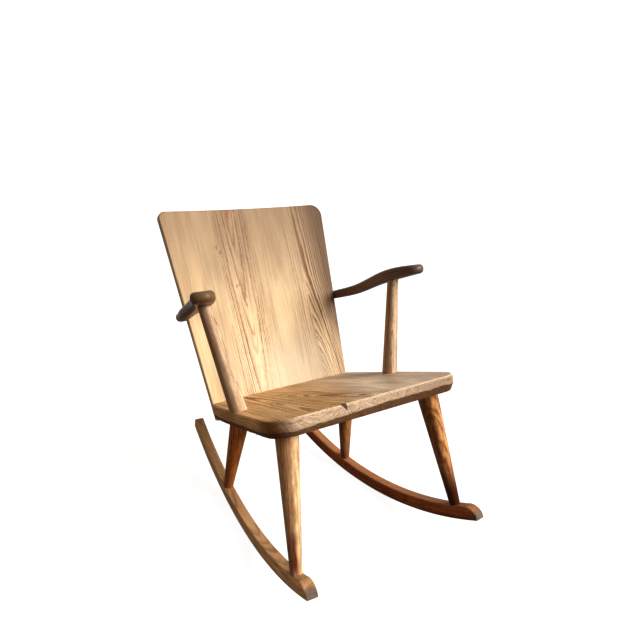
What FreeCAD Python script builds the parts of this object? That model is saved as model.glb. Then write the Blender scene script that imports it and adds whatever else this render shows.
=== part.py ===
import FreeCAD, Part
import math
import os
from FreeCAD import Matrix, Placement, Rotation, Vector

# A rocking armchair in solid pine. X runs across the chair, the front faces -Y and Z is up.
# The chair stands at rest on a level floor at Z = 0, and Y = 0 is the middle of its depth.
# Lengths are in millimetres and angles in degrees.

# ---- how the chair stands ----
ROCKER_RADIUS = 958.0        # of the arc that rolls on the floor
SEAT_TILT = 17.9             # the seat falls this much towards the back when the chair is at rest
ARC_CENTRE_ALONG = 150.7     # the arc's centre, back along the seat's top from its front edge
ARC_CENTRE_ABOVE = 572.4     # and above the seat's top
TOUCH_Y = 6.2                # the line where the rockers touch the floor

# ---- seat ----
SEAT_THICK = 39.0
SEAT_FRONT_HALF = 253.0      # half widths: behind the front corners, before the notch,
SEAT_NOTCH_HALF = 245.0
SEAT_WAIST_HALF = 237.0      # behind the notch, halfway back and at the back
SEAT_FLANK_HALF = 230.0
SEAT_REAR_HALF = 213.0
SEAT_CORNER = 58.0           # radius of the front corners
SEAT_NOTCH = 240.0           # the notch at the arm posts, from the front edge
SEAT_BEVEL_HIGH = 16.0       # the bevel under the edge
SEAT_BEVEL_IN = 7.0
SEAT_ARRIS = 3.0             # the worn top edge
SEAT_JOINTS = (-81.0, 90.0)  # glue lines between its three boards

# ---- back ----
BACK_THICK = 20.0
BACK_HEIGHT = 508.0          # above the seat, along the board
BACK_LEAN = 4.7              # from square to the seat
BACK_FROM_FRONT = 468.5      # the back's front face, from the seat's front edge
BACK_RADIUS = 2673.0         # the hollow across the back
BACK_FOOT_HALF = 214.8       # half widths at the seat and at the top
BACK_TOP_HALF = 243.0
BACK_CORNER = {"left": 18.0, "right": 32.0}   # radii of the top corners
BACK_DROP = 47.0             # its foot hangs this far below the seat's top
BACK_ARRIS = 3.0
BACK_JOINTS = (-157.0, 27.0, 143.0)

# ---- rockers ----
ROCKER_WIDE = 27.5
ROCKER_DEEP = 36.3
ROCKER_FRONT_ANGLE = -9.85   # the ends, around the arc's centre from square under the seat
ROCKER_REAR_ANGLE = 44.8
ROCKER_FRONT_X = 242.1       # the middle of the rocker's width at its ends
ROCKER_REAR_X = 161.7
NOSE_LONG = 38.0             # the rounded nose
NOSE_HIGH = 14.0
ROCKER_ARRIS = 3.0

# ---- legs ----
LEG_TOP_RADIUS = 26.0
LEG_FOOT_RADIUS = 13.5
FRONT_LEG_X = 194.3          # the leg's axis at the seat's underside
FRONT_LEG_ALONG = 71.5
FRONT_FOOT_ANGLE = -5.3      # the foot, around the arc's centre
REAR_LEG_X = 165.7
REAR_LEG_ALONG = 400.0
REAR_FOOT_ANGLE = {"left": 25.85, "right": 23.3}
LEG_TENON = (12.5, 28.0)     # radius and length into the seat
FOOT_TENON = (8.0, 20.0)     # radius and length into the rocker

# ---- arm posts ----
POST_FOOT_RADIUS = 20.5
POST_TOP_RADIUS = 14.8
POST_FOOT = (223.8, 250.0)           # across and along the seat
POST_TOP = (262.5, 226.8, 247.0)     # across, along and above the seat, inside the arm
POST_TENON = (10.0, 27.0)
POST_TOP_TENON = (8.5, 15.0)

# ---- arms ----
ARM_ROUND = 10.0
# the middle of the arm: across, along and above the seat, then its width and its thickness
ARM_LINE = (
    (239.2, 500.0, 237.5, 25.0, 23.6),
    (241.0, 470.0, 237.8, 27.0, 24.4),
    (254.5, 410.0, 239.5, 31.0, 26.0),
    (259.0, 318.0, 250.0, 34.0, 28.0),
    (261.5, 246.0, 258.0, 44.0, 30.0),
    (274.5, 188.0, 260.8, 53.5, 28.0),
    (283.5, 161.0, 260.8, 54.0, 24.5),
)
ARM_NOSE = (6.0, 22.0)       # the tip of the rounded nose, across and forwards from the line's end

# ---- fasteners ----
BACK_SCREWS = (-185.0, -95.0, 0.0, 95.0, 185.0)   # across the back, level with the seat's middle
ARM_SCREW = (488.0, 238.0)                        # along and above the seat
SCREW_RADIUS = 2.3
SCREW_LONG = 45.0
HEAD_RADIUS = 4.4
HEAD_LONG = 3.0
PLUG_RADIUS = 5.0
PLUG_LONG = 5.0

SIDES = (("left", -1.0), ("right", 1.0))

tilt = math.radians(SEAT_TILT)
seat_y = TOUCH_Y - ARC_CENTRE_ALONG * math.cos(tilt) - ARC_CENTRE_ABOVE * math.sin(tilt)
seat_z = ROCKER_RADIUS + ARC_CENTRE_ALONG * math.sin(tilt) - ARC_CENTRE_ABOVE * math.cos(tilt)
SEAT_PLACE = Placement(Vector(0, seat_y, seat_z), Rotation(Vector(1, 0, 0), -SEAT_TILT))


def at_seat(across, along, above=0.0):
    """The place of a point measured on the seat."""
    return SEAT_PLACE.multVec(Vector(across, along, above))


def on_seat(shape):
    """A shape drawn on the level seat, leaned back with it."""
    placed = shape.copy()
    placed.transformShape(SEAT_PLACE.toMatrix())
    return placed


def mirrored(shape):
    """The other hand of a shape."""
    flip = Matrix()
    flip.A11 = -1
    return shape.transformGeometry(flip)


def round_bar(start, end, start_radius, end_radius):
    """A round tapered bar between two points."""
    line = end - start
    if abs(start_radius - end_radius) < 0.001:
        return Part.makeCylinder(start_radius, line.Length, start, line)
    return Part.makeCone(start_radius, end_radius, line.Length, start, line)


def below_seat_plane(above, height=400.0):
    """A big block whose underside lies at a height over the seat's top."""
    block = Part.makeBox(900, 1200, height, Vector(-450, -300, above))
    return on_seat(block)


# ---- rockers ----

def rocker_spot(side, radius, angle):
    """A point on a rocker's middle plane, from its radius and its angle around the arc's centre."""
    swing = math.radians(angle - SEAT_TILT)
    along = radius * math.sin(swing)
    height = ROCKER_RADIUS - radius * math.cos(swing)
    return rocker_place(side).multVec(Vector(0, along, height))


def rocker_place(side):
    """Turns the upright rocker so that the pair runs closer together towards the back."""
    front = ROCKER_RADIUS * math.sin(math.radians(ROCKER_FRONT_ANGLE - SEAT_TILT))
    rear = ROCKER_RADIUS * math.sin(math.radians(ROCKER_REAR_ANGLE - SEAT_TILT))
    toe = math.asin((ROCKER_FRONT_X - ROCKER_REAR_X) / (rear - front))
    across = ROCKER_FRONT_X + front * math.sin(toe)
    return Placement(Vector(side * across, TOUCH_Y, 0), Rotation(Vector(0, 0, 1), side * math.degrees(toe)))


def make_rocker(side):
    """A bent bar of even depth, with a rounded nose and a square heel."""
    def spot(radius, angle):
        swing = math.radians(angle - SEAT_TILT)
        return Vector(0, radius * math.sin(swing), ROCKER_RADIUS - radius * math.cos(swing))

    inner = ROCKER_RADIUS - ROCKER_DEEP
    middle = (ROCKER_FRONT_ANGLE + ROCKER_REAR_ANGLE) / 2
    nose_angle = ROCKER_FRONT_ANGLE + math.degrees(NOSE_LONG / inner)
    nose_middle = ROCKER_FRONT_ANGLE + math.degrees(0.30 * NOSE_LONG / inner)
    toe_low = spot(ROCKER_RADIUS, ROCKER_FRONT_ANGLE)
    toe_high = spot(ROCKER_RADIUS - NOSE_HIGH, ROCKER_FRONT_ANGLE)
    nose_mid = spot(ROCKER_RADIUS - NOSE_HIGH - 0.70 * (ROCKER_DEEP - NOSE_HIGH), nose_middle)
    nose_top = spot(inner, nose_angle)
    heel_low = spot(ROCKER_RADIUS, ROCKER_REAR_ANGLE)
    heel_high = spot(inner, ROCKER_REAR_ANGLE)
    outline = Part.Wire([
        Part.Arc(toe_low, spot(ROCKER_RADIUS, middle), heel_low).toShape(),
        Part.makeLine(heel_low, heel_high),
        Part.Arc(heel_high, spot(inner, middle), nose_top).toShape(),
        Part.Arc(nose_top, nose_mid, toe_high).toShape(),
        Part.makeLine(toe_high, toe_low),
    ])
    bar = Part.Face(outline).extrude(Vector(ROCKER_WIDE, 0, 0))
    bar.translate(Vector(-ROCKER_WIDE / 2, 0, 0))
    bar = bar.makeFillet(ROCKER_ARRIS, bar.Edges)
    bar.transformShape(rocker_place(side).toMatrix())
    return bar


def below_rocker_top(side):
    """Everything under the level of a rocker's top face, on both sides of it."""
    centre = Vector(-100, 0, ROCKER_RADIUS)
    outer = Part.makeCylinder(ROCKER_RADIUS + 60, 200, centre, Vector(1, 0, 0))
    inner = Part.makeCylinder(ROCKER_RADIUS - ROCKER_DEEP, 200, centre, Vector(1, 0, 0))
    ring = outer.cut(inner)
    ring.transformShape(rocker_place(side).toMatrix())
    return ring


# ---- legs ----

def leg_line(name, side):
    """The leg's axis: its foot on the rocker's top and its head at the seat's underside."""
    if name == "front":
        foot_angle = FRONT_FOOT_ANGLE
        head = at_seat(side * FRONT_LEG_X, FRONT_LEG_ALONG, -SEAT_THICK)
    else:
        foot_angle = REAR_FOOT_ANGLE["left" if side < 0 else "right"]
        head = at_seat(side * REAR_LEG_X, REAR_LEG_ALONG, -SEAT_THICK)
    foot = rocker_spot(side, ROCKER_RADIUS - ROCKER_DEEP, foot_angle)
    return foot, head


def leg_tenons(name, side):
    """The round tenons at the head and the foot of a leg."""
    foot, head = leg_line(name, side)
    line = (head - foot).normalize()
    head_tenon = round_bar(head - line * 10, head + line * LEG_TENON[1], LEG_TENON[0], LEG_TENON[0])
    foot_tenon = round_bar(foot + line * 10, foot - line * FOOT_TENON[1], FOOT_TENON[0], FOOT_TENON[0])
    return head_tenon, foot_tenon


def make_leg(name, side):
    """A tapered turned leg, cut off flat under the seat and hollow on the rocker."""
    foot, head = leg_line(name, side)
    line = head - foot
    spare = 12.0
    growth = (LEG_TOP_RADIUS - LEG_FOOT_RADIUS) / line.Length * spare
    line.normalize()
    shank = round_bar(foot - line * spare, head + line * spare,
                      LEG_FOOT_RADIUS - growth, LEG_TOP_RADIUS + growth)
    shank = shank.cut(below_seat_plane(-SEAT_THICK)).cut(below_rocker_top(side))
    head_tenon, foot_tenon = leg_tenons(name, side)
    return shank.fuse(head_tenon).fuse(foot_tenon).removeSplitter()


# ---- back ----

def back_place():
    """Stands the flat-drawn back behind the seat: X across, Y up the board and Z to the sitter."""
    stand = Placement(Vector(0, BACK_FROM_FRONT, 0), Rotation(Vector(1, 0, 0), 90 - BACK_LEAN))
    return SEAT_PLACE.multiply(stand)


def back_half(height):
    """The back's half width at a height above the seat."""
    return BACK_FOOT_HALF + (BACK_TOP_HALF - BACK_FOOT_HALF) * height / BACK_HEIGHT


def back_shell(front, rear, low, high, half):
    """A piece of the hollow sheet between two depths behind the sitter's face."""
    centre = Vector(0, low, BACK_RADIUS)
    outer = Part.makeCylinder(BACK_RADIUS + rear, high - low, centre, Vector(0, 1, 0))
    inner = Part.makeCylinder(BACK_RADIUS + front, high - low, centre, Vector(0, 1, 0))
    window = Part.makeBox(2 * half, high - low, 120, Vector(-half, low, -60))
    return outer.cut(inner).common(window)


def back_outline():
    """The board's face: tapered, with rounded top corners."""
    low = -80.0
    foot = back_half(low)
    points = [
        Vector(-foot, low, 0),
        Vector(foot, low, 0),
        Vector(BACK_TOP_HALF, BACK_HEIGHT, 0),
        Vector(-BACK_TOP_HALF, BACK_HEIGHT, 0),
    ]
    block = Part.Face(Part.makePolygon(points + [points[0]])).extrude(Vector(0, 0, 120))
    block.translate(Vector(0, 0, -60))
    for name, side in SIDES:
        corner = [edge for edge in block.Edges if is_upright(edge)
                  and edge.CenterOfMass.y > 0 and edge.CenterOfMass.x * side > 200]
        block = block.makeFillet(BACK_CORNER[name], corner)
    return block


def is_upright(edge):
    """True for a straight edge along Z."""
    first = edge.Vertexes[0].Point
    last = edge.Vertexes[-1].Point
    return abs((last - first).z) > 0.9 * edge.Length and abs(edge.Length - 120) < 0.01


def make_back():
    """The whole back panel in place, before it is parted into boards."""
    panel = back_shell(0, BACK_THICK, -80, BACK_HEIGHT + 20, 300).common(back_outline())
    rims = []
    for edge in panel.Edges:
        middle = edge.CenterOfMass
        flat_corner = abs(edge.tangentAt(edge.FirstParameter).z) < 0.3
        if flat_corner and middle.y > -75:
            rims.append(edge)
    panel = panel.makeFillet(BACK_ARRIS, rims)
    panel.transformShape(back_place().toMatrix())
    under = Part.makeBox(900, 1200, 200, Vector(-450, -300, -BACK_DROP - 200))
    return panel.cut(on_seat(under))


def behind_back_face():
    """Everything behind the sitter's face of the back."""
    block = back_shell(0, 90, -200, 300, 330)
    block.transformShape(back_place().toMatrix())
    return block


# ---- seat ----

def seat_outline(inset):
    """The seat's edge, drawn a little inside itself for the underside."""
    front = inset
    corner = SEAT_CORNER - inset
    front_half = SEAT_FRONT_HALF - inset
    notch_half = SEAT_NOTCH_HALF - inset
    waist_half = SEAT_WAIST_HALF - 0.4 * inset
    flank_half = SEAT_FLANK_HALF - 0.4 * inset
    rear_half = SEAT_REAR_HALF - 0.4 * inset
    slant = corner * (1 - math.sqrt(0.5))

    def half(side):
        turn = side * (front_half - corner)
        return [
            (Vector(turn, front, 0), None),
            (Vector(side * front_half, front + corner, 0),
             Vector(side * (front_half - slant), front + slant, 0)),
            (Vector(side * notch_half, SEAT_NOTCH - 12, 0), None),
            (Vector(side * waist_half, SEAT_NOTCH + 6, 0),
             Vector(side * (notch_half - 1.5), SEAT_NOTCH - 3, 0)),
            (Vector(side * waist_half, SEAT_NOTCH + 22, 0), None),
            (Vector(side * rear_half, 500, 0), Vector(side * flank_half, 375, 0)),
        ]

    edges = []
    for side in (1.0, -1.0):
        stations = half(side)
        for (start, _), (end, through) in zip(stations, stations[1:]):
            if through is None:
                edges.append(Part.makeLine(start, end))
            else:
                edges.append(Part.Arc(start, through, end).toShape())
    right = half(1.0)
    left = half(-1.0)
    edges.append(Part.makeLine(left[0][0], right[0][0]))
    edges.append(Part.makeLine(left[-1][0], right[-1][0]))
    return Part.Wire(Part.__sortEdges__(edges))


def make_seat():
    """The seat plank in place, with its bevelled underside and worn top edge, before it is parted."""
    edge_low = -(SEAT_THICK - SEAT_BEVEL_HIGH)
    plank = Part.Face(seat_outline(0)).extrude(Vector(0, 0, edge_low))
    rim = [edge for edge in plank.Edges if edge.BoundBox.ZMin > -0.01 and edge.CenterOfMass.y < 499]
    plank = plank.makeFillet(SEAT_ARRIS, rim)
    upper = seat_outline(0)
    upper.translate(Vector(0, 0, edge_low))
    lower = seat_outline(SEAT_BEVEL_IN)
    lower.translate(Vector(0, 0, -SEAT_THICK))
    under = Part.makeLoft([upper, lower], True, True)
    seat = on_seat(plank.fuse(under).removeSplitter())
    return seat.cut(behind_back_face())


# ---- arm posts ----

def post_line(side):
    """The post's axis, from the seat's top up into the arm."""
    return at_seat(side * POST_FOOT[0], POST_FOOT[1]), at_seat(side * POST_TOP[0], POST_TOP[1], POST_TOP[2])


def post_tenons(side):
    """The round tenons at the foot and the top of a post."""
    foot, top = post_line(side)
    line = (top - foot).normalize()
    foot_tenon = round_bar(foot + line * 10, foot - line * POST_TENON[1], POST_TENON[0], POST_TENON[0])
    top_tenon = round_bar(top - line * 14, top + line * POST_TOP_TENON[1],
                          POST_TOP_TENON[0], POST_TOP_TENON[0])
    return foot_tenon, top_tenon


def make_post(side, arm):
    """A tapered post, cut to the seat's top and to the arm's underside."""
    foot, top = post_line(side)
    line = (top - foot).normalize()
    shank = round_bar(foot - line * 10, top, POST_FOOT_RADIUS + 0.2, POST_TOP_RADIUS)
    under = on_seat(Part.makeBox(900, 1200, 60, Vector(-450, -300, -60)))
    shank = shank.cut(under).cut(arm)
    foot_tenon, top_tenon = post_tenons(side)
    return shank.fuse(foot_tenon).fuse(top_tenon).removeSplitter()


# ---- arms ----

def curve(points):
    """A smooth curve through points."""
    spline = Part.BSplineCurve()
    spline.interpolate(points)
    return spline.toShape()


def make_arm():
    """The right arm: sawn to its plan, sawn to its side view, then rounded over."""
    outer = []
    inner = []
    upper = []
    lower = []
    for across, along, above, width, thick in ARM_LINE:
        outer.append(Vector(across + width / 2, along, 0))
        inner.append(Vector(across - width / 2, along, 0))
        upper.append(Vector(0, along, above + thick / 2))
        lower.append(Vector(0, along, above - thick / 2))
    across, along, above, width, thick = ARM_LINE[-1]
    tip = Vector(across + ARM_NOSE[0], along - ARM_NOSE[1], 0)
    upper.append(Vector(0, along - 40, above + thick / 2 - 6))
    lower.append(Vector(0, along - 40, above - thick / 2 + 2))
    plan = Part.Wire([
        curve(inner),
        Part.Arc(inner[-1], tip, outer[-1]).toShape(),
        curve(outer[::-1]),
        Part.makeLine(outer[0], inner[0]),
    ])
    board = Part.Face(plan).extrude(Vector(0, 0, 200))
    board.translate(Vector(0, 0, 160))
    profile = Part.Wire([
        curve(upper),
        Part.makeLine(upper[-1], lower[-1]),
        curve(lower[::-1]),
        Part.makeLine(lower[0], upper[0]),
    ])
    side_view = Part.Face(profile).extrude(Vector(400, 0, 0))
    arm = board.common(side_view)
    rims = [edge for edge in arm.Edges if not is_corner(edge)]
    return arm.makeFillet(ARM_ROUND, rims)


def is_corner(edge):
    """True for the arm's upright corner edges."""
    box = edge.BoundBox
    return box.ZLength > 18 and box.YLength < 3.0



def make_arm_pair(back):
    """Both arms, housed against the edges of the back."""
    arm = on_seat(make_arm()).cut(back)
    return {"left": mirrored(arm), "right": arm}


# ---- screws and the wooden plugs over them ----

def screw(mouth, inward):
    """A countersunk screw and the hole over its head, from a surface inwards."""
    inward = Vector(inward).normalize()
    seat_of_head = mouth + inward * PLUG_LONG
    neck = seat_of_head + inward * HEAD_LONG
    head = Part.makeCone(HEAD_RADIUS, SCREW_RADIUS, HEAD_LONG, seat_of_head, inward)
    shank = Part.makeCylinder(SCREW_RADIUS, SCREW_LONG - 6, neck, inward)
    point = Part.makeCone(SCREW_RADIUS, 0.4, 6, neck + inward * (SCREW_LONG - 6), inward)
    plug = Part.makeCylinder(PLUG_RADIUS, PLUG_LONG + 6, mouth - inward * 6, inward)
    return head.fuse(shank).fuse(point).removeSplitter(), plug


def back_screws():
    """Screws through the foot of the back into the seat's rear edge, with their plugs."""
    turn = back_place()
    inward = turn.Rotation.multVec(Vector(0, 0, 1))
    height = -SEAT_THICK / 2 / math.cos(math.radians(BACK_LEAN))
    fixings = []
    for across in BACK_SCREWS:
        rear = BACK_RADIUS - math.sqrt((BACK_RADIUS + BACK_THICK) ** 2 - across ** 2)
        fixings.append(screw(turn.multVec(Vector(across, height, rear)), inward))
    return fixings


def arm_screws():
    """A screw through each arm's rear end into the edge of the back, with its plug."""
    across, along, above, width, thick = ARM_LINE[0]
    fixings = []
    for name, side in SIDES:
        mouth = at_seat(side * (across + width / 2 + 0.4), ARM_SCREW[0], ARM_SCREW[1])
        fixings.append(screw(mouth, Vector(-side, 0, 0)))
    return fixings


# ---- putting the chair together ----

def boards(shape, joints):
    """A glued-up panel parted at its glue lines, from left to right."""
    stations = [-400.0] + list(joints) + [400.0]
    pieces = []
    for low, high in zip(stations, stations[1:]):
        slab = Part.makeBox(high - low, 2000, 2000, Vector(low, -1000, -500))
        pieces.append(shape.common(slab))
    return pieces


def build():
    """Every piece of the chair by name."""
    back = make_back()
    seat = make_seat()
    arms = make_arm_pair(back)
    parts = {}
    sockets = []
    for name, side in SIDES:
        rocker = make_rocker(side)
        for place in ("front", "rear"):
            head_tenon, foot_tenon = leg_tenons(place, side)
            sockets.append(head_tenon)
            rocker = rocker.cut(foot_tenon)
            parts[place + "_leg_" + name] = make_leg(place, side)
        parts["rocker_" + name] = rocker
        post_foot, post_top = post_tenons(side)
        sockets.append(post_foot)
        parts["arm_post_" + name] = make_post(side, arms[name])
        arms[name] = arms[name].cut(post_top)
    for socket in sockets:
        seat = seat.cut(socket)

    screws = []
    plugs = []
    for fixing, plug in back_screws():
        screws.append(fixing)
        plugs.append(plug.common(back))
        back = back.cut(fixing).cut(plug)
        seat = seat.cut(fixing)
    parts["back_screws"] = Part.makeCompound(screws)
    parts["back_screw_plugs"] = Part.makeCompound(plugs)

    screws = []
    plugs = []
    for (name, side), (fixing, plug) in zip(SIDES, arm_screws()):
        screws.append(fixing)
        plugs.append(plug.common(arms[name]))
        arms[name] = arms[name].cut(fixing).cut(plug)
        back = back.cut(fixing)
        parts["arm_" + name] = arms[name]
    parts["arm_screws"] = Part.makeCompound(screws)
    parts["arm_screw_plugs"] = Part.makeCompound(plugs)

    for number, board in enumerate(boards(seat, SEAT_JOINTS), 1):
        parts["seat_board_" + str(number)] = board
    for number, board in enumerate(boards(back, BACK_JOINTS), 1):
        parts["back_board_" + str(number)] = board
    return parts


os.makedirs("parts", exist_ok=True)
for name, shape in build().items():
    shape.exportStep("parts/" + name + ".step")
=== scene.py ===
import math

import bmesh
import bpy
import numpy as np
from mathutils import Euler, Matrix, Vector, noise


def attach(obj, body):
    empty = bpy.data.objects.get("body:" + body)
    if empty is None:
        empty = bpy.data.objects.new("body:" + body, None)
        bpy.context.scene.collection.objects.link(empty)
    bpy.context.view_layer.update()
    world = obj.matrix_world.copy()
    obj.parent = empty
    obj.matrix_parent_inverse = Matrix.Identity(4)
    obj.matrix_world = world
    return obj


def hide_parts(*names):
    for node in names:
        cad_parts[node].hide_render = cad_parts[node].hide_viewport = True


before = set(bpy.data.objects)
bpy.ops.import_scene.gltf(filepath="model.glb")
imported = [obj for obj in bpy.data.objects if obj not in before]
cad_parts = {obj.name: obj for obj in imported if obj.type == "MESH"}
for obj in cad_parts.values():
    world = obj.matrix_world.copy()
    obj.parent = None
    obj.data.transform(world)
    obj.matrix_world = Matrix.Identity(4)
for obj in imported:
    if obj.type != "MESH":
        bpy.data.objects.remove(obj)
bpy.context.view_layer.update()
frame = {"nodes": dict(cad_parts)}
nodes = frame["nodes"]

# ---- the chair's own directions; shapes are in metres and materials in millimetres ----

SEAT_TILT = math.radians(17.9)         # the seat falls this much towards the back
BACK_LEAN = math.radians(22.6)         # from upright
ROCKER_RADIUS = 0.9580
ARC_CENTRE = (0.0062, ROCKER_RADIUS)   # y and z of the centre of the rockers' curve
ALONG_CENTRE = 0.1507                  # that centre, back along the seat from its front edge
ABOVE_CENTRE = 0.5724                  # and above the seat's top
BACK_FROM_FRONT = 468.5                # the back's front face, in millimetres along the seat


def on_seat(across, along, above):
    """A point given across, along and above the seat's top, in millimetres."""
    along = along / 1000 - ALONG_CENTRE
    above = above / 1000 - ABOVE_CENTRE
    y = ARC_CENTRE[0] + along * math.cos(SEAT_TILT) + above * math.sin(SEAT_TILT)
    z = ARC_CENTRE[1] - along * math.sin(SEAT_TILT) + above * math.cos(SEAT_TILT)
    return Vector((across / 1000, y, z))


def points_of(mesh):
    points = np.empty(len(mesh.vertices) * 3)
    mesh.vertices.foreach_get("co", points)
    return points.reshape(-1, 3)


def colour(red, green, blue):
    """A colour as it looks on a screen, turned into the shader's own scale."""
    def line(value):
        value /= 255
        return value / 12.92 if value < 0.04045 else ((value + 0.055) / 1.055) ** 2.4
    return (line(red), line(green), line(blue), 1.0)


# ---- numbers on a surface, worked out by nodes ----

class Value:
    """One number, colour or vector at every point of a surface."""

    def __init__(self, shader, socket):
        self.shader = shader
        self.socket = socket

    def __add__(self, other):
        return self.shader.math("ADD", self, other)

    def __sub__(self, other):
        return self.shader.math("SUBTRACT", self, other)

    def __rsub__(self, other):
        return self.shader.math("SUBTRACT", other, self)

    def __mul__(self, other):
        return self.shader.math("MULTIPLY", self, other)

    def __truediv__(self, other):
        return self.shader.math("DIVIDE", self, other)


class Shader:
    """A material whose look comes from nodes."""

    def __init__(self, name, **look):
        self.material = bpy.data.materials.new(name)
        self.material.use_nodes = True
        self.tree = self.material.node_tree
        self.surface = self.tree.nodes["Principled BSDF"]
        self.surface.inputs["Specular IOR Level"].default_value = 0.25
        self.surface.inputs["Specular Tint"].default_value = (1.0, 0.86, 0.70, 1.0)
        for socket, value in look.items():
            self.surface.inputs[socket.replace("_", " ")].default_value = value

    def node(self, kind, **settings):
        node = self.tree.nodes.new(kind)
        for key, value in settings.items():
            setattr(node, key, value)
        return node

    def join(self, value, socket):
        if isinstance(value, Value):
            self.tree.links.new(value.socket, socket)
        else:
            socket.default_value = value

    def math(self, operation, *values):
        node = self.node("ShaderNodeMath", operation=operation)
        for value, socket in zip(values, node.inputs):
            self.join(value, socket)
        return Value(self, node.outputs[0])

    def smooth(self, value, low, high, to_low=0.0, to_high=1.0):
        """A soft step: to_low where value is below low, to_high where it is above high."""
        node = self.node("ShaderNodeMapRange", interpolation_type="SMOOTHSTEP")
        for socket, number in zip(node.inputs, (value, low, high, to_low, to_high)):
            self.join(number, socket)
        return Value(self, node.outputs[0])

    def fading(self, value, low, high):
        """1 where value is below low, falling softly to 0 where it is above high."""
        return self.smooth(value, low, high, 1.0, 0.0)

    def between(self, value, start, full, fade, end):
        """0 outside start and end, 1 from full to fade."""
        return self.smooth(value, start, full) * self.fading(value, fade, end)

    def hump(self, value, centre, width):
        """1 at the centre, falling softly to 0 at a width either side."""
        return self.fading(self.math("ABSOLUTE", value - centre), 0.0, width)

    def split(self, vector):
        node = self.node("ShaderNodeSeparateXYZ")
        self.join(vector, node.inputs[0])
        return [Value(self, socket) for socket in node.outputs]

    def noise(self, x, y, z, detail, roughness, seed):
        """Smooth random numbers from about -1 to 1, one cell to a unit."""
        point = self.node("ShaderNodeCombineXYZ")
        for value, socket in zip((x, y, z), point.inputs):
            self.join(value, socket)
        node = self.node("ShaderNodeTexNoise", noise_dimensions="4D")
        self.join(Value(self, point.outputs[0]), node.inputs["Vector"])
        node.inputs["W"].default_value = seed
        node.inputs["Scale"].default_value = 1.0
        node.inputs["Detail"].default_value = detail
        node.inputs["Roughness"].default_value = roughness
        return (Value(self, node.outputs[0]) - 0.5) * 2.4

    def line_noise(self, value, seed):
        """Smooth random numbers along one direction."""
        node = self.node("ShaderNodeTexNoise", noise_dimensions="1D")
        self.join(value + seed, node.inputs["W"])
        node.inputs["Scale"].default_value = 1.0
        node.inputs["Detail"].default_value = 1.0
        return (Value(self, node.outputs[0]) - 0.5) * 2.4

    def random(self, value, seed):
        """A number from 0 to 1 that differs for every whole value."""
        node = self.node("ShaderNodeTexWhiteNoise", noise_dimensions="1D")
        self.join(value + seed, node.inputs["W"])
        return Value(self, node.outputs[0])

    def mix(self, factor, first, second):
        node = self.node("ShaderNodeMix", data_type="RGBA")
        sockets = (node.inputs[0], node.inputs[6], node.inputs[7])
        for value, socket in zip((factor, first, second), sockets):
            self.join(value, socket)
        return Value(self, node.outputs[2])

    def scaled(self, tone, value):
        """The colour, lighter or darker by value."""
        node = self.node("ShaderNodeVectorMath", operation="SCALE")
        self.join(tone if isinstance(tone, Value) else tone[:3], node.inputs[0])
        self.join(value, node.inputs["Scale"])
        return Value(self, node.outputs[0])

    def position(self):
        """The place in the frame, in metres."""
        return self.split(Value(self, self.node("ShaderNodeTexCoord").outputs["Object"]))

    def normal(self):
        """The surface's direction in the frame."""
        return self.split(Value(self, self.node("ShaderNodeNewGeometry").outputs["Normal"]))

    def place(self, origin, turn):
        """Coordinates in millimetres from origin, in directions turned like the piece."""
        node = self.node("ShaderNodeMapping", vector_type="TEXTURE")
        self.tree.links.new(self.node("ShaderNodeTexCoord").outputs["Object"], node.inputs["Vector"])
        node.inputs["Location"].default_value = origin
        node.inputs["Rotation"].default_value = turn
        node.inputs["Scale"].default_value = (0.001, 0.001, 0.001)
        return self.split(Value(self, node.outputs[0]))

    def facing(self, turn):
        """The surface's direction, in directions turned like the piece."""
        node = self.node("ShaderNodeMapping", vector_type="TEXTURE")
        self.tree.links.new(self.node("ShaderNodeNewGeometry").outputs["Normal"], node.inputs["Vector"])
        node.inputs["Rotation"].default_value = turn
        return self.split(Value(self, node.outputs[0]))

    def finish(self, tone, rough, height, depth):
        """Colour, roughness and bump; height counts in steps of depth metres."""
        self.join(tone, self.surface.inputs["Base Color"])
        self.join(rough, self.surface.inputs["Roughness"])
        bump = self.node("ShaderNodeBump")
        bump.inputs["Strength"].default_value = 1.0
        bump.inputs["Distance"].default_value = depth
        self.join(height, bump.inputs["Height"])
        self.tree.links.new(bump.outputs[0], self.surface.inputs["Normal"])
        return self.material


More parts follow.
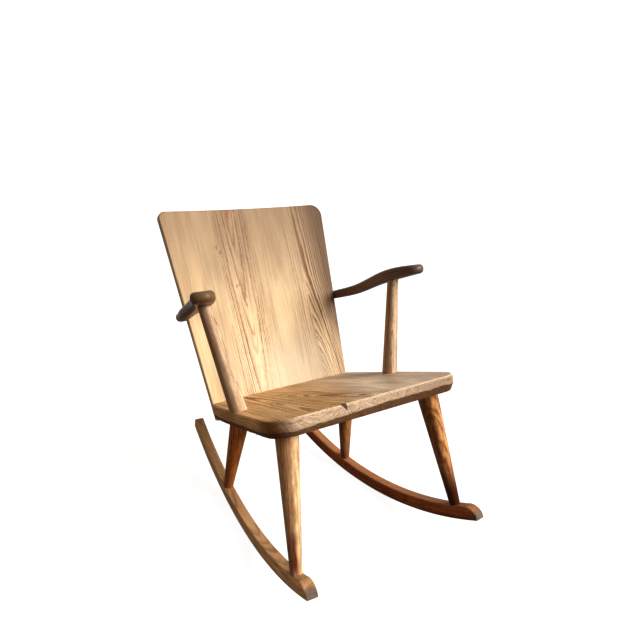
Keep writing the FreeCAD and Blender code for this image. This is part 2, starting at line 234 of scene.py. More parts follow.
class Grain:
    """The growth rings and fibres of one piece of pine: u across, v along the grain, w deep.

    The rings lie around the pith, placed across and deep, which leans both ways along the piece.
    ring is a ring's width and sway how far the rings wander. drop replaces the second lean by a
    curve, wild makes the rings wander more often along the piece and jag makes them more ragged.
    """

    def __init__(self, s, u, v, w, pith, lean, ring, seed, sway=3.0, drop=None, wild=1.0, jag=0.34):
        drift = s.noise(u * 0.012, v * (0.004 * wild), w * 0.012, 1.0, 0.5, seed)
        ripple = s.noise(u * 0.05, v * (0.012 * wild), w * 0.05, 3.0, 0.55, seed + 3)
        self.fray = s.noise(u * 0.5, v * 0.06, w * 0.5, 2.0, 0.6, seed + 5)
        across = u - v * lean[0] - pith[0] + drift * sway + ripple * 2.6
        fall = v * lean[1] if drop is None else drop
        deep = w - fall - pith[1] + drift * (0.5 * sway) + ripple * 1.2
        count = s.math("SQRT", across * across + deep * deep) / ring
        count = count + s.line_noise(count * 0.35, seed) * 0.9 + self.fray * jag
        self.late = s.between(s.math("FRACT", count), 0.30, 0.88, 0.90, 1.0)
        self.weight = s.random(s.math("FLOOR", count), seed)
        self.offset = s.math("ABSOLUTE", across)
        self.fibre = s.noise(u * 0.9, v * 0.018, w * 0.9, 3.0, 0.6, seed + 7)
        self.fleck = s.smooth(s.noise(u * 1.6, v * 0.07, w * 1.6, 1.0, 0.5, seed + 11), 0.42, 0.75)
        self.band = s.noise(u * 0.22, v * 0.006, w * 0.22, 3.0, 0.6, seed + 13)
        self.cloud = s.noise(u * 0.011, v * 0.0045, w * 0.011, 2.0, 0.5, seed + 17)
        self.patch = s.noise(u * 0.035, v * 0.006, w * 0.035, 2.0, 0.55, seed + 23)


def wood_tone(s, grain, pale, dark, strength, fibre, cloud, patch):
    """The colour of plain wood: dark late wood over pale, streaked and clouded."""
    shade = grain.fibre * fibre + grain.band * fibre + grain.cloud * cloud + grain.patch * patch
    shade = shade - grain.fleck * 0.12
    tone = s.mix(grain.late * strength - shade * 1.2 + 0.08, pale, dark)
    return s.scaled(tone, shade + 1.0)


def paint(obj, material):
    obj.data.materials.clear()
    obj.data.materials.append(material)


# ---- the seat's edges, shaped and worn by hand ----

SEAT_SQUARE = Euler((-SEAT_TILT, 0.0, 0.0)).to_matrix()
SEAT_BOARDS = ("seat_board_1", "seat_board_2", "seat_board_3")
SEAT_JOINTS = (None, -0.081, 0.090, None)   # the glue lines; the outer sides need no cut
SEAT_VOXEL = 0.002
SHAPED_LONG = 0.445                    # the edge is shaped from the front as far back as this
NOTCH_END = 0.236                      # and less deeply behind the notch at the arm posts
BEVEL_START = 0.0205                   # the hand-cut bevel starts about this far below the top
BEVEL_SLOPE = 0.48                     # and goes in this much for each step down
CAD_BEVEL_START = 0.023                # the even bevel that the CAD boards already have
CAD_BEVEL_SLOPE = 7.0 / 16.0
CAD_BEVEL_IN = 0.007
MOST_CUT = 0.006
RUB_DOWN = 0.007                       # the top edge is rubbed round as far down as this
SHARP = math.radians(40)


def waves(points, size, seed):
    """Smooth random numbers from about -1 to 1 at each point, with bumps of that size in metres."""
    shift = Vector((seed * 7.3, seed * 3.1, seed * 5.7))
    return np.array([noise.noise(Vector(point) / size + shift) for point in points])


def finer(names, square, voxel):
    """CAD pieces joined into one even fine mesh, squared to their own directions."""
    joined = bmesh.new()
    for name in names:
        joined.from_mesh(nodes[name].data)
    mesh = bpy.data.meshes.new("joined")
    joined.to_mesh(mesh)
    joined.free()
    mesh.transform(square.to_4x4().inverted())
    piece = bpy.data.objects.new("joined", mesh)
    bpy.context.scene.collection.objects.link(piece)
    remesh = piece.modifiers.new("even", "REMESH")
    remesh.mode = "VOXEL"
    remesh.voxel_size = voxel
    graph = bpy.context.evaluated_depsgraph_get()
    fine = bpy.data.meshes.new_from_object(piece.evaluated_get(graph))
    bpy.data.objects.remove(piece)
    return fine


def directions(mesh):
    """The way that the surface faces at each point."""
    out = np.empty(len(mesh.vertices) * 3)
    mesh.vertex_normals.foreach_get("vector", out)
    return out.reshape(-1, 3)


def parted(mesh, low, high):
    """The part of a mesh between two values of x, closed again where it was cut."""
    part = bmesh.new()
    part.from_mesh(mesh)
    for x, side in ((low, -1.0), (high, 1.0)):
        if x is None:
            continue
        every = part.verts[:] + part.edges[:] + part.faces[:]
        cut = bmesh.ops.bisect_plane(part, geom=every, plane_co=(x, 0, 0), plane_no=(side, 0, 0),
                                     clear_outer=True)
        rim = [item for item in cut["geom_cut"] if isinstance(item, bmesh.types.BMEdge)]
        bmesh.ops.triangle_fill(part, edges=rim, use_beauty=True)
    bmesh.ops.recalc_face_normals(part, faces=part.faces[:])
    result = bpy.data.meshes.new("parted")
    part.to_mesh(result)
    part.free()
    return result


def put_in(name, mesh, node, square):
    """Puts a finished mesh in the place of a CAD piece."""
    mesh.transform(square.to_4x4())
    mesh.shade_smooth()
    mesh.set_sharp_from_angle(angle=SHARP)
    piece = bpy.data.objects.new(name, mesh)
    bpy.context.scene.collection.objects.link(piece)
    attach(piece, "root")
    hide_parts(node)
    nodes[node] = piece


def worn_seat():
    """The bevel under the seat was cut by hand, and the top edge has been rubbed round."""
    mesh = finer(SEAT_BOARDS, SEAT_SQUARE, SEAT_VOXEL)
    points = points_of(mesh)
    normals = directions(mesh)
    edge = SEAT_SQUARE.inverted() @ on_seat(0, 0, 0)
    below = edge.z - points[:, 2]
    along = points[:, 1] - edge.y
    flat = np.hypot(normals[:, 0], normals[:, 1])
    side = (flat > 0.25) & (along < SHAPED_LONG)
    # the cuts run down the edge, so the waves change slowly with height
    spot = points * np.array([1.0, 1.0, 0.15])
    start = BEVEL_START + 0.0040 * waves(spot, 0.045, 1) + 0.0018 * waves(spot, 0.014, 2)
    slope = BEVEL_SLOPE + 0.14 * waves(spot, 0.06, 3)
    cut = np.clip((below - start) * slope, 0, 0.011)
    already = np.clip((below - CAD_BEVEL_START) * CAD_BEVEL_SLOPE, 0, CAD_BEVEL_IN)
    share = np.where(along > NOTCH_END, 0.38, 1.0)
    inward = np.clip((cut - already) * share, 0, MOST_CUT)
    rub = np.clip(1 - below / RUB_DOWN, 0, 1) ** 2
    inward = inward + rub * np.clip(0.0008 + 0.0010 * waves(spot, 0.03, 4), 0, None)
    inward = np.where(side, inward, 0)
    level = normals[:, :2] / np.maximum(flat, 0.001)[:, None]
    points[:, :2] -= level * inward[:, None]
    rim = side & (normals[:, 2] > 0.2) & (below < 0.004)
    points[:, 2] -= np.where(rim, np.clip(0.0005 + 0.0006 * waves(spot, 0.02, 5), 0, None), 0)
    mesh.vertices.foreach_set("co", points.ravel())
    for name, low, high in zip(SEAT_BOARDS, SEAT_JOINTS, SEAT_JOINTS[1:]):
        put_in("worn_" + name, parted(mesh, low, high), name, SEAT_SQUARE)


worn_seat()

# ---- the back: u across, v up along it, w out of its front face ----

BACK_TURN = (math.pi / 2 - BACK_LEAN, 0.0, 0.0)
BACK_ORIGIN = on_seat(0.0, BACK_FROM_FRONT, 0.0)


def streak(s, u, v, middle, low, high, width, lean=0.0):
    """A long soft stain in the wood."""
    line = u - (v - low) * lean
    return s.hump(line, middle, width) * s.between(v, low - 25, low + 25, high - 25, high + 25)


def back_wood(name, pith, lean, ring, seed, pale, dark, fade, drop=None, jag=0.34):
    """What the four boards share; fade says how strong the rings are across the board."""
    s = Shader(name, Specular_IOR_Level=0.2, Coat_Weight=0.05, Coat_Roughness=0.35)
    u, v, w = s.place(BACK_ORIGIN, BACK_TURN)
    grain = Grain(s, u, v, w, pith, lean, ring, seed, drop=drop(s, v) if drop else None, jag=jag)
    strength = fade(s, u, grain) * (grain.weight + 0.45)
    tone = wood_tone(s, grain, pale, dark, strength, fibre=0.16, cloud=0.22, patch=0.24)
    # the wood is browner towards the top, partly patina and partly painted shade, and stays creamy down by
    # the seat
    shade_brown = s.mix(0.5, s.scaled(tone, 0.5), colour(128, 90, 60))
    height = v + grain.cloud * 45 + grain.patch * 25
    tone = s.mix(s.smooth(height, 160, 500, 0.0, 0.85), tone, shade_brown)
    # painted light: the lower middle is painted pale cream where the light falls strongest
    middle = s.hump(u + grain.patch * 30.0, 40, 230) * s.fading(height, 20, 230)
    tone = s.mix(middle * 0.8 - grain.late * 0.2, tone, colour(242, 226, 198))
    return s, u, v, grain, tone


def finish_back(s, grain, tone, strength):
    end = s.smooth(s.math("ABSOLUTE", s.facing(BACK_TURN)[1]), 0.6, 0.95)
    tone = s.mix(end * 0.55, tone, colour(120, 84, 50))
    rough = grain.fibre * 0.04 + grain.late * -0.06 + 0.46
    height = grain.late * strength * 0.5 + grain.fibre * 0.35 - grain.fleck * 0.3
    return s.finish(tone, rough, height, 0.00025)


def board_1():
    """Quiet straight grain."""
    s, u, v, grain, tone = back_wood(
        "back_wood_1", (-330.0, -60.0), (0.01, 0.0), 5.0, 2.0,
        colour(224, 194, 152), colour(146, 96, 56),
        lambda s, u, grain: s.smooth(u, -235, -180, 0.35, 0.12))
    return finish_back(s, grain, tone, 0.3)


def board_2():
    """Arched figure down the middle, with red streaks and pin knots."""
    s, u, v, grain, tone = back_wood(
        "back_wood_2", (-57.0, -35.0), (0.012, 0.04), 4.2, 5.0,
        colour(226, 198, 158), colour(136, 86, 50),
        lambda s, u, grain: s.smooth(grain.offset, 30, 78, 0.75, 0.16))
    red = streak(s, u, v, -58, 452, 520, 9, 0.06) + streak(s, u, v, -58, 140, 205, 5) * 0.6
    red = red + streak(s, u, v, -40, 250, 420, 6, 0.05) * 0.35 + streak(s, u, v, 3, 260, 470, 8) * 0.25
    tone = s.mix(red * 0.7, tone, colour(140, 84, 54))
    for across, up in ((-105.0, 408.0), (-97.0, 394.0), (-70.0, 300.0)):
        apart = (u - across) * (u - across) + (v - up) * (v - up) * 0.3
        knot = s.math("SQRT", apart) + grain.fray * 1.2
        tone = s.mix(s.smooth(knot, 1.0, 4.5, 0.65, 0.0), tone, colour(110, 66, 40))
    return finish_back(s, grain, tone, 0.8)


def board_3():
    """Straight grain that grows stronger to the right."""
    s, u, v, grain, tone = back_wood(
        "back_wood_3", (215.0, -40.0), (-0.01, 0.0), 5.2, 9.0,
        colour(226, 198, 159), colour(138, 88, 54),
        lambda s, u, grain: s.smooth(u, 88, 122, 0.16, 0.62))
    red = streak(s, u, v, 52, 300, 520, 10, 0.01) * 0.3 + streak(s, u, v, 84, 60, 300, 7, 0.02) * 0.2
    tone = s.mix(red, tone, colour(150, 92, 58))
    return finish_back(s, grain, tone, 0.5)


def board_4():
    """Strong arched figure, with painted shade along its outer edge, where the curved board turns away
    from the light.
    """
    s, u, v, grain, tone = back_wood(
        "back_wood_4", (134.0, -20.0), (0.0, 0.0), 4.4, 14.0,
        colour(226, 196, 156), colour(112, 68, 34),
        lambda s, u, grain: s.smooth(u, 170, 240, 1.0, 0.6),
        drop=lambda s, v: s.math("TANH", v / 230.0) * -46.0, jag=0.14)
    # painted shade: the outer edge is painted dark where the curved board turns away from the light, more
    # so higher up
    wear_and_shade = s.smooth(u + v * 0.05 + grain.cloud * 20, 165, 240, 0.0, 0.9)
    wear_and_shade = wear_and_shade * s.smooth(v, 20, 200, 0.35, 1.0)
    tone = s.mix(wear_and_shade - grain.band * 0.3, tone, colour(92, 59, 35))
    return finish_back(s, grain, tone, 0.9)


for number, board in enumerate((board_1, board_2, board_3, board_4), start=1):
    paint(nodes["back_board_%d" % number], board())

# ---- the seat: u across, v back along it, w up out of its top ----

SEAT_TURN = (-SEAT_TILT, 0.0, 0.0)
SEAT_ORIGIN = on_seat(0.0, 0.0, 0.0)
SEAT_KNOT = -81.0                      # the dark wedge in the front edge, at the left glue line


def end_grain(s, grain, u, grit, gouge):
    """The front and the back edges: drier and dirtier, with sharper rings."""
    raw = s.mix(grain.late * (grain.weight * 0.4 + 0.25), colour(208, 181, 154), colour(116, 82, 58))
    raw = s.mix(s.smooth(gouge, -0.05, 0.5) * 0.8, raw, colour(96, 64, 42))
    raw = s.scaled(raw, grit * 0.7 + grain.cloud * 0.25 + 1.0)
    raw = s.mix(s.smooth(u, -40, 240, 0.0, 0.55), raw, colour(128, 104, 86))
    left = s.scaled(colour(108, 62, 26), grit * 0.4 + 1.0)
    return s.mix(s.smooth(u, -245, -195, 0.85, 0.0), raw, left)


def seat_wood(name, pith, lean, ring, seed, strong, knot=False):
    """One board of the seat; strong says how strong its rings are across the board."""
    s = Shader(name, Specular_IOR_Level=0.12, Coat_Weight=0.03, Coat_Roughness=0.3)
    u, v, w = s.place(SEAT_ORIGIN, SEAT_TURN)
    grain = Grain(s, u, v, w, pith, lean, ring, seed)
    strength = (grain.weight * 0.9 + 0.5) * strong(s, u, grain)
    # painted sheen: the top is painted paler from left to right and greyer near its right side, as a
    # painted reflection of the bright surroundings behind on the right, with fainter rings there
    bright = s.smooth(u - v * 0.25, -110, 60)
    pale = s.mix(bright, colour(238, 194, 136), colour(255, 234, 206))
    pale = s.mix(s.smooth(u + v * 0.2, 125, 235, 0.0, 0.8), pale, colour(204, 180, 158))
    strength = strength * (1.0 - bright * 0.45)
    tone = wood_tone(s, grain, pale, colour(132, 80, 40), strength, fibre=0.20, cloud=0.22, patch=0.24)
    # the sides are browner, and darkest at the front corners
    facing_along, facing_up = s.facing(SEAT_TURN)[1:]
    steep = s.math("ABSOLUTE", facing_up)
    upright = s.fading(steep, 0.5, 0.9)
    flank = s.scaled(colour(206, 154, 98), grain.fibre * 0.5 + grain.patch * 0.4 + 1.0)
    tone = s.mix(upright * 0.6, tone, flank)
    corner = upright * s.fading(v + grain.patch * 15.0, 30, 110)
    tone = s.mix(corner * 0.8, tone, colour(104, 60, 24))
    end = s.smooth(s.math("ABSOLUTE", facing_along), 0.45, 0.8)
    grit = s.noise(u * 0.16, v * 0.16, w * 0.25, 4.0, 0.7, seed + 30)
    gouge = s.noise(u * 0.05, v * 0.05, w * 0.17, 4.0, 0.7, seed + 33)
    tone = s.mix(end, tone, end_grain(s, grain, u, grit, gouge))
    # the hand-cut bevel under the edge is darker, and so is the underside
    wave = s.noise(u * 0.03, v * 0.03, 0.0, 2.0, 0.5, 41.0)
    low = s.fading(w + wave * 4.0 + s.smooth(u, -200, 60, 4.0, -3.0), -24.5, -21.5)
    bevel = s.scaled(colour(90, 54, 24), grit * 0.5 + 1.0)
    tone = s.mix(low * s.fading(steep, 0.75, 0.95) * 0.88, tone, bevel)
    tone = s.mix(s.fading(facing_up, -0.9, -0.6) * 0.35, tone, colour(120, 82, 50))
    # the top edge is painted pale, partly wear and partly a painted highlight along the rounded arris,
    # which is left out at the shaded left corner
    edge = s.smooth(w, -4.5, -1.5) * s.smooth(facing_up, 0.985, 0.93) * s.smooth(grit, -0.7, 0.2)
    edge = edge * s.smooth(u, -215, -175, 0.1, 1.0)
    tone = s.mix(edge * 0.9, tone, colour(238, 214, 184))
    if knot:
        wedge = (w + 17.0) * 0.9 - s.math("ABSOLUTE", u - SEAT_KNOT) + grit
        inside = s.smooth(wedge, 0.0, 1.6) * s.fading(v, 6.0, 12.0)
        tone = s.mix(inside * 0.92, tone, colour(60, 38, 30))
    rough = grit * 0.04 + end * 0.15 + grain.fibre * 0.03 + 0.48
    height = grain.late * 0.5 + grain.fibre * 0.3 + end * grit * 1.2 - grain.fleck * 0.4
    return s.finish(tone, rough, height, 0.0003)


paint(nodes["seat_board_1"], seat_wood(
    "seat_wood_1", (-150.0, 34.0), (0.05, 0.02), 4.0, 3.0,
    lambda s, u, grain: s.smooth(u, -200, -120, 0.8, 1.1), knot=True))
paint(nodes["seat_board_2"], seat_wood(
    "seat_wood_2", (8.0, 30.0), (-0.28, 0.06), 4.4, 8.0,
    lambda s, u, grain: s.smooth(grain.offset, 25, 90, 1.4, 0.7)))
paint(nodes["seat_board_3"], seat_wood(
    "seat_wood_3", (150.0, 45.0), (0.04, -0.03), 4.6, 12.0,
    lambda s, u, grain: s.smooth(u, 90, 200, 0.8, 0.6)))

# ---- turned legs and posts, whose grain runs along them ----


def along_piece(obj):
    """The middle of a long piece and the turn whose y runs up along it."""
    points = points_of(obj.data)
    middle = (points.min(axis=0) + points.max(axis=0)) / 2
    spread = np.cov((points - points.mean(axis=0)).T)
    longest = np.linalg.eigh(spread)[1][:, 2]
    up = Vector(longest)
    if up.z < 0:
        up = -up
    return Vector(middle), up.to_track_quat("Y", "Z").to_euler()


def turned_wood(name, obj, pith, lean, ring, seed, pale, dark, red, strong, stained, dirty, left,
                shade_brown=(88, 36, 12), smear=0.0):
    """Stained turned pine.

    strong is for the rings, stained for the red mottling and dirty for the dirt up from the foot.
    left gives how much painted shade darkens the left side, away from the window, and where
    that starts; brown is the colour of that painted shade, and smear is for a red streak low on it.
    """
    s = Shader(name, Coat_Weight=0.12, Coat_Roughness=0.3)
    origin, turn = along_piece(obj)
    u, v, w = s.place(origin, turn)
    grain = Grain(s, u, v, w, pith, lean, ring, seed, sway=7.0, wild=2.5)
    strength = (grain.weight + 0.4) * strong
    tone = wood_tone(s, grain, pale, dark, strength, fibre=0.15, cloud=0.15, patch=0.22)
    mottle = s.noise(u * 0.09, v * 0.022, w * 0.09, 4.0, 0.6, seed + 50)
    tone = s.mix(s.smooth(mottle, -0.2, 0.4) * stained, tone, red)
    speck = s.noise(u * 0.30, v * 0.09, w * 0.30, 4.0, 0.7, seed + 60)
    tone = s.scaled(tone, speck * 0.4 + 1.0)
    # painted shade: the left side, away from the window, is painted darker
    away = turn.to_matrix().inverted() @ Vector((-0.93, -0.15, 0.0))
    off = u * away.x + w * away.z + mottle * 5.0
    share, begins = left
    tone = s.mix(s.smooth(off, begins, begins + 9.0, 0.0, share), tone, colour(*shade_brown))
    tone = s.mix(s.smooth(v + mottle * 14.0, -130.0, -20.0, dirty, 0.0), tone, colour(72, 28, 11))
    low = s.between(v + mottle * 12.0, -165, -135, -95, -45)
    tone = s.mix(s.hump(off + mottle * 3.0, 15.0, 8.0) * low * smear, tone, colour(104, 34, 12))
    rough = grain.fibre * 0.05 - grain.late * 0.05 + 0.42
    height = grain.late * 0.5 + grain.fibre * 0.4 - grain.fleck * 0.4 + speck * 0.6
    return s.finish(tone, rough, height, 0.0003)


LEG_DARK = colour(104, 48, 16)
LEG_RED = colour(132, 62, 28)
LEGS = {
    "front_leg_left": dict(
        pith=(6.0, 10.0), lean=(0.03, 0.05), ring=4.4, seed=21.0,
        pale=colour(255, 222, 170), dark=LEG_DARK, red=colour(160, 92, 46), shade_brown=(132, 66, 28),
        strong=0.4, stained=0.45, dirty=0.1, left=(0.6, 7.0), smear=0.85),
    "front_leg_right": dict(
        pith=(-4.0, 12.0), lean=(0.02, -0.05), ring=4.2, seed=27.0,
        pale=colour(222, 166, 104), dark=LEG_DARK, red=LEG_RED,
        strong=0.6, stained=0.85, dirty=1.0, left=(0.6, 4.0)),
    "rear_leg_left": dict(
        pith=(8.0, -6.0), lean=(0.03, 0.03), ring=4.6, seed=33.0,
        pale=colour(198, 122, 56), dark=colour(74, 28, 8), red=colour(126, 54, 16),
        strong=0.6, stained=0.45, dirty=0.2, left=(0.0, 4.0)),
    "rear_leg_right": dict(
        pith=(-6.0, -8.0), lean=(0.03, 0.04), ring=4.4, seed=39.0,
        pale=colour(188, 136, 82), dark=LEG_DARK, red=LEG_RED,
        strong=0.6, stained=0.85, dirty=0.4, left=(0.5, 3.0)),
}
POST = dict(
    pith=(5.0, 28.0), lean=(0.01, 0.02), ring=3.0,
    pale=colour(228, 202, 172), dark=colour(140, 98, 62), red=colour(178, 136, 98), shade_brown=(128, 90, 56),
    strong=0.7, stained=0.4, dirty=0.0, left=(0.65, 3.0))
POSTS = {"arm_post_left": dict(POST, seed=45.0), "arm_post_right": dict(POST, seed=51.0)}

for name, wood in {**LEGS, **POSTS}.items():
    paint(nodes[name], turned_wood(name + "_wood", nodes[name], **wood))

# ---- rockers, whose grain follows their curve ----


def rocker_wood(name, side, seed, pale, dark):
    """Bent pine: u out from the middle, v along the curve, w in from the rolling face."""
    s = Shader(name, Coat_Weight=0.05, Coat_Roughness=0.35)
    x, y, z = s.position()
    back = (y - ARC_CENTRE[0]) * 1000
    down = (z - ARC_CENTRE[1]) * -1000
    radius = ROCKER_RADIUS * 1000
    u = x * (1000 * side) - 200
    w = radius - s.math("SQRT", back * back + down * down)
    v = s.math("ARCTAN2", back, down) * radius
    grain = Grain(s, u, v, w, (12.0, -22.0), (-0.02, 0.05), 4.2, seed, sway=6.0, wild=2.0)
    strength = (grain.weight * 0.8 + 0.2) * 0.75
    tone = wood_tone(s, grain, pale, dark, strength, fibre=0.16, cloud=0.22, patch=0.26)
    mottle = s.noise(u * 0.06, v * 0.02, w * 0.06, 4.0, 0.6, seed + 50)
    tone = s.mix(s.smooth(mottle, -0.05, 0.6, 0.0, 0.6), tone, dark)
    speck = s.noise(u * 0.25, v * 0.08, w * 0.25, 4.0, 0.7, seed + 60)
    tone = s.scaled(tone, speck * 0.4 + 1.0)
    # painted light: the top is painted paler and greyer where the light falls on it, the rolling face is
    # grimy, and the upper edges are painted pale, partly rubbed wear and partly a painted highlight
    facing_back, facing_up = s.normal()[1:]
    # painted light on the upward faces
    up = s.smooth(facing_up, 0.3, 0.8)
    tone = s.mix(up * 0.50, tone, colour(184, 142, 104))
    grime = s.smooth(w + grain.patch * 5.0, 2.0, 12.0, 0.55, 0.0)
    tone = s.mix(grime, tone, colour(92, 52, 24))
    # painted highlight: the upper edges are painted pale, partly wear and partly a highlight on the
    # rounded arris
    arris = s.between(facing_up, 0.15, 0.4, 0.6, 0.85) * s.smooth(mottle, -0.5, 0.3)
    tone = s.mix(arris * 0.75, tone, colour(228, 188, 136))
    # the end of the nose is dry, grey end grain
    forward = s.smooth(facing_back, -0.2, -0.6) * s.fading(v, -420, -370)
    nose = s.scaled(colour(116, 98, 86), grain.patch * 0.7 + mottle * 0.5 + grain.fibre * 0.3 + 1.0)
    tone = s.mix(forward, tone, nose)
    rough = grain.fibre * 0.05 + up * 0.06 + 0.46
    height = grain.late * 0.5 + grain.fibre * 0.4 - grain.fleck * 0.4
    return s.finish(tone, rough, height, 0.0003)


paint(nodes["rocker_left"], rocker_wood(
    "rocker_wood_left", -1.0, 61.0, colour(248, 196, 138), colour(112, 62, 32)))
paint(nodes["rocker_right"], rocker_wood(
    "rocker_wood_right", 1.0, 67.0, colour(192, 106, 50), colour(78, 26, 6)))

# ---- dark arms ----


def arm_wood(name, obj, seed, pale, dark, flank):
    """Wood stained dark and rubbed paler by hands, its greyer top colours partly a painted sheen; flank is
    the colour of its upright sides.
    """
    s = Shader(name, Coat_Weight=0.15, Coat_Roughness=0.3)
    u, v, w = s.place(*along_piece(obj))
    grain = Grain(s, u, v, w, (10.0, 30.0), (0.03, 0.05), 3.6, seed, sway=4.0)
    strength = grain.weight * 0.6 + 0.3
    tone = wood_tone(s, grain, pale, dark, strength, fibre=0.16, cloud=0.22, patch=0.25)
    stain = s.smooth(grain.band - grain.patch * 0.5, 0.0, 0.6) * s.smooth(grain.cloud, -0.6, 0.4)
    tone = s.mix(stain * 0.65, tone, colour(58, 30, 26))
    wear_and_shade = s.smooth(grain.patch + grain.fibre * 0.4, 0.1, 1.0)
    tone = s.mix(wear_and_shade * 0.5, tone, colour(134, 106, 88))
    # the upright sides take the warmer flank colour, away from the painted sheen on the top
    upright = s.smooth(s.normal()[2], 0.1, 0.6, 0.6, 0.0)
    tone = s.mix(upright, tone, s.scaled(flank, grain.patch * 0.3 + 1.0))
    rough = grain.fibre * 0.06 + grain.patch * 0.05 + 0.40
    height = grain.late * 0.4 + grain.fibre * 0.5 - grain.fleck * 0.4
    return s.finish(tone, rough, height, 0.0003)


# pale wood, dark wood and flank; the right arm's greyer pale and dark wood are partly a painted sheen on
# its top
ARM_WARM = colour(126, 98, 74), colour(62, 45, 32), colour(120, 84, 50)
ARM_GREY = colour(126, 104, 94), colour(60, 49, 44), colour(92, 72, 60)
paint(nodes["arm_left"], arm_wood("arm_wood_left", nodes["arm_left"], 71.0, *ARM_WARM))
paint(nodes["arm_right"], arm_wood("arm_wood_right", nodes["arm_right"], 77.0, *ARM_GREY))
paint(nodes["arm_screw_plugs"], arm_wood("arm_plug_wood", nodes["arm_left"], 83.0, *ARM_WARM))

# ---- fasteners ----


def plug_wood():
    s = Shader("plug_wood", Coat_Weight=0.1)
    u, v, w = s.place(BACK_ORIGIN, BACK_TURN)
    grit = s.noise(u * 0.6, v * 0.6, w * 0.2, 3.0, 0.6, 5.0)
    ring = s.smooth(s.math("FRACT", (u + v * 0.6) * 0.45 + grit * 0.3), 0.4, 0.9)
    tone = s.mix(ring * 0.6, colour(176, 128, 80), colour(120, 78, 44))
    return s.finish(s.scaled(tone, grit * 0.12 + 1.0), grit * 0.05 + 0.5, grit, 0.0002)


def steel():
    s = Shader("screw_steel", Metallic=1.0)
    x, y, z = s.position()
    brushed = s.noise(x * 900, y * 900, z * 200, 2.0, 0.5, 1.0)
    tone = s.mix(brushed * 0.5 + 0.5, (0.42, 0.42, 0.42, 1.0), (0.58, 0.57, 0.55, 1.0))
    return s.finish(tone, brushed * 0.08 + 0.4, brushed, 0.00005)


paint(nodes["back_screw_plugs"], plug_wood())
for name in ("back_screws", "arm_screws"):
    paint(nodes[name], steel())

# ---- the room ----

WHITE = (1.0, 1.0, 1.0, 1.0)
FLOOR_HALF = 30
FLOOR_GREY = (0.30, 0.30, 0.30, 1.0)
FLOOR_GLOW = 0.88
FLOOR_BOUNCE = (0.26, 0.21, 0.17, 1.0)
FILL_TINT = (1.0, 0.86, 0.70, 1.0)
FILL = 0.17
MIRRORED_TINT = (1.0, 0.84, 0.68, 1.0)
SUN_AIM = Vector((0.0, 0.0, 0.3))
EXPOSURE = 0.08
GAMMA = 0.9
CAMERA_PLACE = (-0.6538, -1.1478, 0.9334)
CAMERA_TURN = (64.730, -0.688, -33.777)     # degrees
CAMERA_LENS = 30.28
CAMERA_SHIFT = (-0.037, 0.133)


def by_ray(tree, shown, others):
    """Replaces what is shown for some kinds of ray; the later ones come first."""
    paths = tree.nodes.new("ShaderNodeLightPath")
    for ray, other in others:
        pick = tree.nodes.new("ShaderNodeMixShader")
        tree.links.new(paths.outputs[ray], pick.inputs[0])
        tree.links.new(shown, pick.inputs[1])
        tree.links.new(other.outputs[0], pick.inputs[2])
        shown = pick.outputs[0]
    return shown


def make_floor():
    """White to look at, dim in bounced light, and in reflections bright only far behind on the right."""
    corners = [(x * FLOOR_HALF, y * FLOOR_HALF, 0) for x, y in ((-1, -1), (1, -1), (1, 1), (-1, 1))]
    mesh = bpy.data.meshes.new("floor")
    mesh.from_pydata(corners, [], [(0, 1, 2, 3)])
    obj = bpy.data.objects.new("floor", mesh)
    bpy.context.scene.collection.objects.link(obj)
    s = Shader("floor", Roughness=0.8, Base_Color=FLOOR_GREY, Specular_IOR_Level=0.1,
               Emission_Color=WHITE, Emission_Strength=FLOOR_GLOW)
    s.material.cycles.emission_sampling = "NONE"
    x, y, z = s.position()
    mirrored = s.node("ShaderNodeEmission")
    s.join(s.smooth(x + y, 0.8, 3.5, 0.10, 0.9), mirrored.inputs["Strength"])
    bounce = s.node("ShaderNodeBsdfDiffuse")
    bounce.inputs["Color"].default_value = FLOOR_BOUNCE
    shown = by_ray(s.tree, s.surface.outputs[0], (("Is Glossy Ray", mirrored), ("Is Diffuse Ray", bounce)))
    s.tree.links.new(shown, s.tree.nodes["Material Output"].inputs[0])
    obj.data.materials.append(s.material)


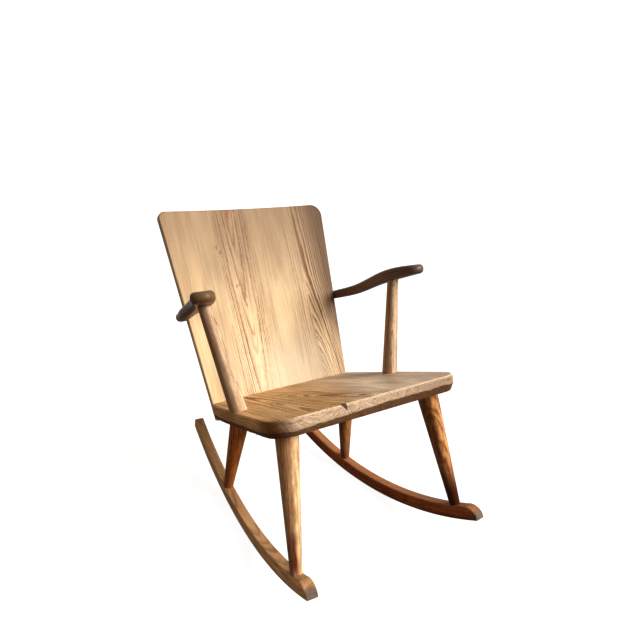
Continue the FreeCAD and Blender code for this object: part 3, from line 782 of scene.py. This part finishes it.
def make_world():
    """White to look at, dim as a fill light, and in reflections bright only behind on the right."""
    world = bpy.data.worlds.new("world")
    bpy.context.scene.world = world
    world.use_nodes = True
    tree = world.node_tree
    fill = tree.nodes["Background"]
    fill.inputs["Color"].default_value = FILL_TINT
    fill.inputs["Strength"].default_value = FILL
    white = tree.nodes.new("ShaderNodeBackground")
    white.inputs["Strength"].default_value = 1.0
    white.inputs["Color"].default_value = WHITE
    mirrored = tree.nodes.new("ShaderNodeBackground")
    mirrored.inputs["Color"].default_value = MIRRORED_TINT
    split = tree.nodes.new("ShaderNodeSeparateXYZ")
    tree.links.new(tree.nodes.new("ShaderNodeTexCoord").outputs["Generated"], split.inputs[0])
    total = tree.nodes.new("ShaderNodeMath")
    tree.links.new(split.outputs[0], total.inputs[0])
    tree.links.new(split.outputs[1], total.inputs[1])
    ramp = tree.nodes.new("ShaderNodeMapRange")
    limits = {"From Min": 0.2, "From Max": 1.2, "To Min": 0.10, "To Max": 0.90}
    for socket, number in limits.items():
        ramp.inputs[socket].default_value = number
    tree.links.new(total.outputs[0], ramp.inputs["Value"])
    tree.links.new(ramp.outputs[0], mirrored.inputs["Strength"])
    shown = by_ray(tree, fill.outputs[0], (("Is Glossy Ray", mirrored), ("Is Camera Ray", white)))
    tree.links.new(shown, tree.nodes["World Output"].inputs[0])


def sun(name, strength, tint, place, spread):
    """A soft light from a window; spread is its width in degrees."""
    lamp = bpy.data.lights.new(name, "SUN")
    lamp.energy = strength
    lamp.color = tint
    lamp.angle = math.radians(spread)
    obj = bpy.data.objects.new(name, lamp)
    bpy.context.scene.collection.objects.link(obj)
    obj.location = place
    obj.rotation_euler = (SUN_AIM - Vector(place)).to_track_quat("-Z", "Y").to_euler()


def make_camera():
    camera = bpy.data.objects.new("camera", bpy.data.cameras.new("camera"))
    bpy.context.scene.collection.objects.link(camera)
    camera.location = CAMERA_PLACE
    camera.rotation_euler = Euler([math.radians(angle) for angle in CAMERA_TURN])
    camera.data.lens = CAMERA_LENS
    camera.data.shift_x, camera.data.shift_y = CAMERA_SHIFT
    bpy.context.scene.camera = camera


make_floor()
make_world()
sun("window", 4.35, (1.0, 0.97, 0.92), (2.4, -3.1, 2.6), 34)
sun("far_window", 0.25, (1.0, 0.88, 0.74), (-2.6, 1.6, 1.7), 60)
make_camera()
bpy.context.scene.view_settings.view_transform = "Standard"
bpy.context.scene.view_settings.exposure = EXPOSURE
bpy.context.scene.view_settings.gamma = GAMMA
